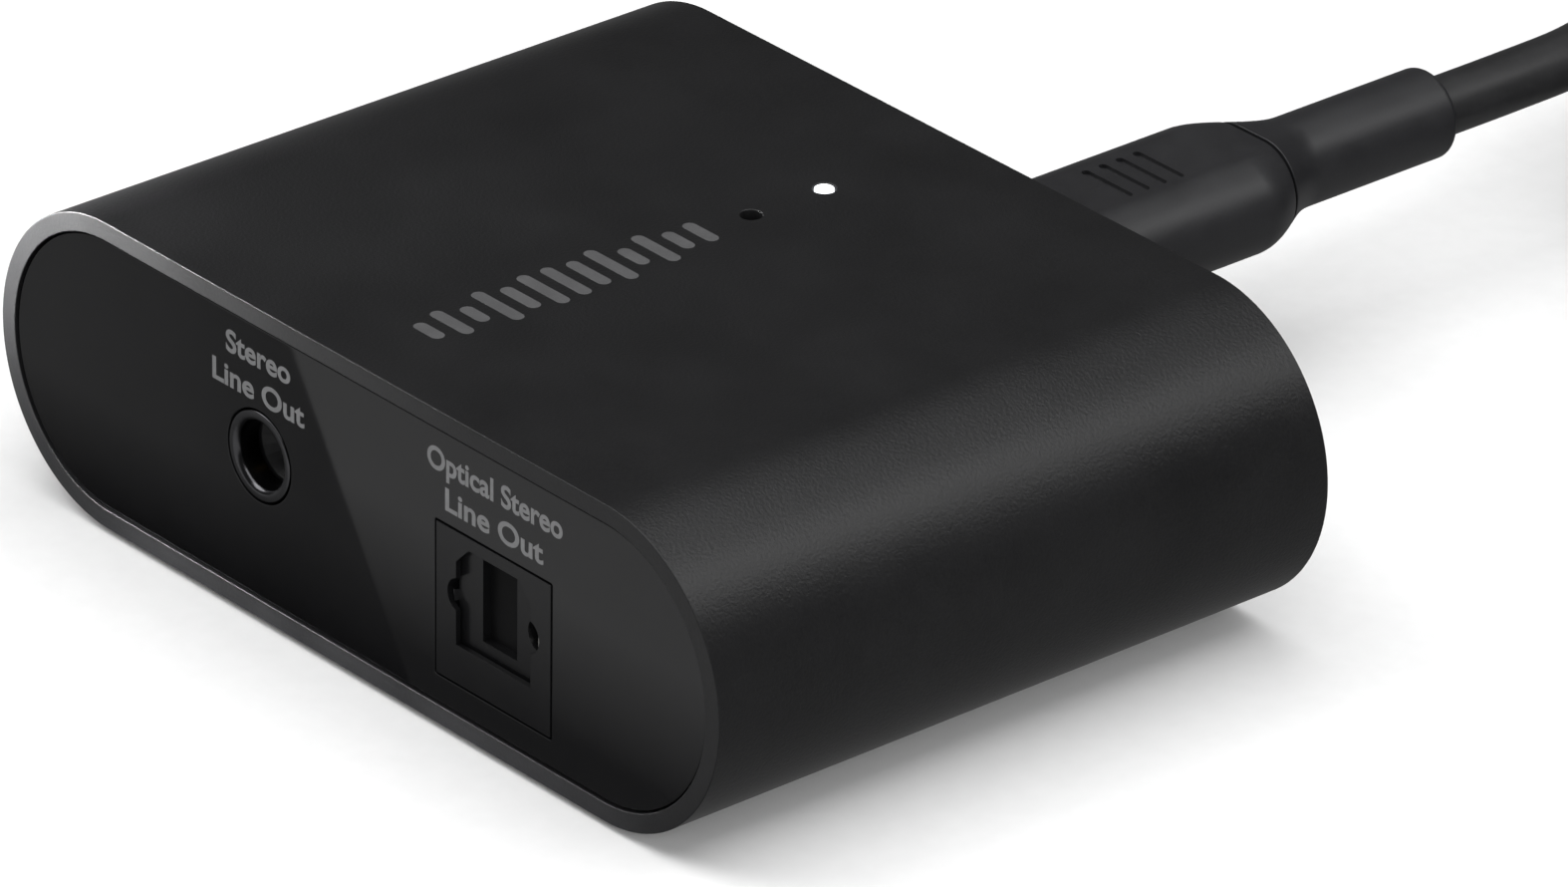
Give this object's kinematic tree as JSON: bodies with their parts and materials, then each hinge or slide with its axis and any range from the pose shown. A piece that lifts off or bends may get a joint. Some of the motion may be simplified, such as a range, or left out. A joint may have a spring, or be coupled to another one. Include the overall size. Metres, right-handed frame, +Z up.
{
  "type": "bluetooth audio receiver",
  "caption": "Flat round-ended audio receiver box with analogue and shuttered optical outputs, a USB-C power inlet and its plugged-in power lead.",
  "frame": {"origin": "bottom centre of the receiver, on the surface it stands on; the power lead isn't counted", "axes": "+X along the receiver's width, to the right seen from the ports; the ports face -Y and the power lead leaves along +Y; +Z up"},
  "size_m": [0.1066, 0.1858, 0.0255],
  "materials": {
    "housing_abs": "fine-textured moulded ABS",
    "panel_gloss": "polished moulded PC/ABS",
    "foot_rubber": "moulded silicone rubber",
    "inner_abs": "moulded ABS, plain",
    "steel": "nickel-plated pressed steel",
    "solder_mask": "glass-fibre board with solder mask",
    "chip_epoxy": "moulded epoxy and PBT",
    "ferrite": "pressed ferrite",
    "capacitor_can": "drawn aluminium can",
    "contact_gold": "gold-plated spring bronze",
    "clear_acrylic": "diffusing acrylic",
    "status_light": "diffusing acrylic, lit white",
    "cord_pvc": "satin PVC sheath and TPE mouldings",
    "tie_strap": "woven hook-and-loop strap"
  },
  "bodies": {
    "receiver": {"housing_shell": "housing_abs", "foot_pad": "foot_rubber", "front_panel": "panel_gloss", "rear_panel": "housing_abs", "chassis_tray": "inner_abs", "base_weight": "steel", "base_screw_1": "steel", "base_screw_2": "steel", "main_pcb": "solder_mask", "pcb_screw_1": "steel", "pcb_screw_2": "steel", "pcb_screw_3": "steel", "pcb_screw_4": "steel", "radio_module": "solder_mask", "radio_shield": "steel", "processor": "chip_epoxy", "flash_chip": "chip_epoxy", "audio_dac": "chip_epoxy", "power_regulator": "chip_epoxy", "clock_crystal": "steel", "power_inductor": "ferrite", "capacitor_1": "capacitor_can", "capacitor_2": "capacitor_can", "antenna_plate": "steel", "jack_body": "chip_epoxy", "jack_nose_ring": "panel_gloss", "jack_sleeve_contact": "contact_gold", "jack_ring_contact": "contact_gold", "jack_tip_contact": "contact_gold", "optical_housing": "housing_abs", "shutter_spring": "steel", "optical_emitter": "clear_acrylic", "status_led": "clear_acrylic", "light_pipe": "status_light", "reset_switch": "steel", "usb_c_shell": "steel", "usb_c_insulator": "chip_epoxy"},
    "shutter": {"optical_shutter": "housing_abs"},
    "reset_button": {"reset_plunger": "housing_abs"},
    "power_lead": {"usb_c_plug_shell": "steel", "usb_c_plug_overmould": "cord_pvc", "usb_c_plug_relief": "cord_pvc", "power_cord": "cord_pvc", "power_cord_coil": "cord_pvc", "cord_tie": "tie_strap", "power_cord_tail": "cord_pvc", "usb_a_plug_relief": "cord_pvc", "usb_a_plug_overmould": "cord_pvc", "usb_a_plug_shell": "steel", "usb_a_contact_block": "chip_epoxy"}
  },
  "joints": [
    {"name": "shutter_hinge", "type": "hinge", "parent": "receiver", "child": "shutter", "pos_m": [0.01585, -0.0271, 0.01541], "axis": [1, 0, 0], "range_deg": [0, 95], "stiffness_Nm_per_rad": 0.00002, "springref_deg": -22.92},
    {"name": "reset_press", "type": "slide", "parent": "receiver", "child": "reset_button", "axis": [0, 0, -1], "range_m": [0, 0.00025], "stiffness_N_per_m": 400, "springref_m": -0.0001},
    {"name": "lead_pull", "type": "slide", "parent": "receiver", "child": "power_lead", "axis": [0, 1, 0], "range_m": [0, 0.012]}
  ]
}
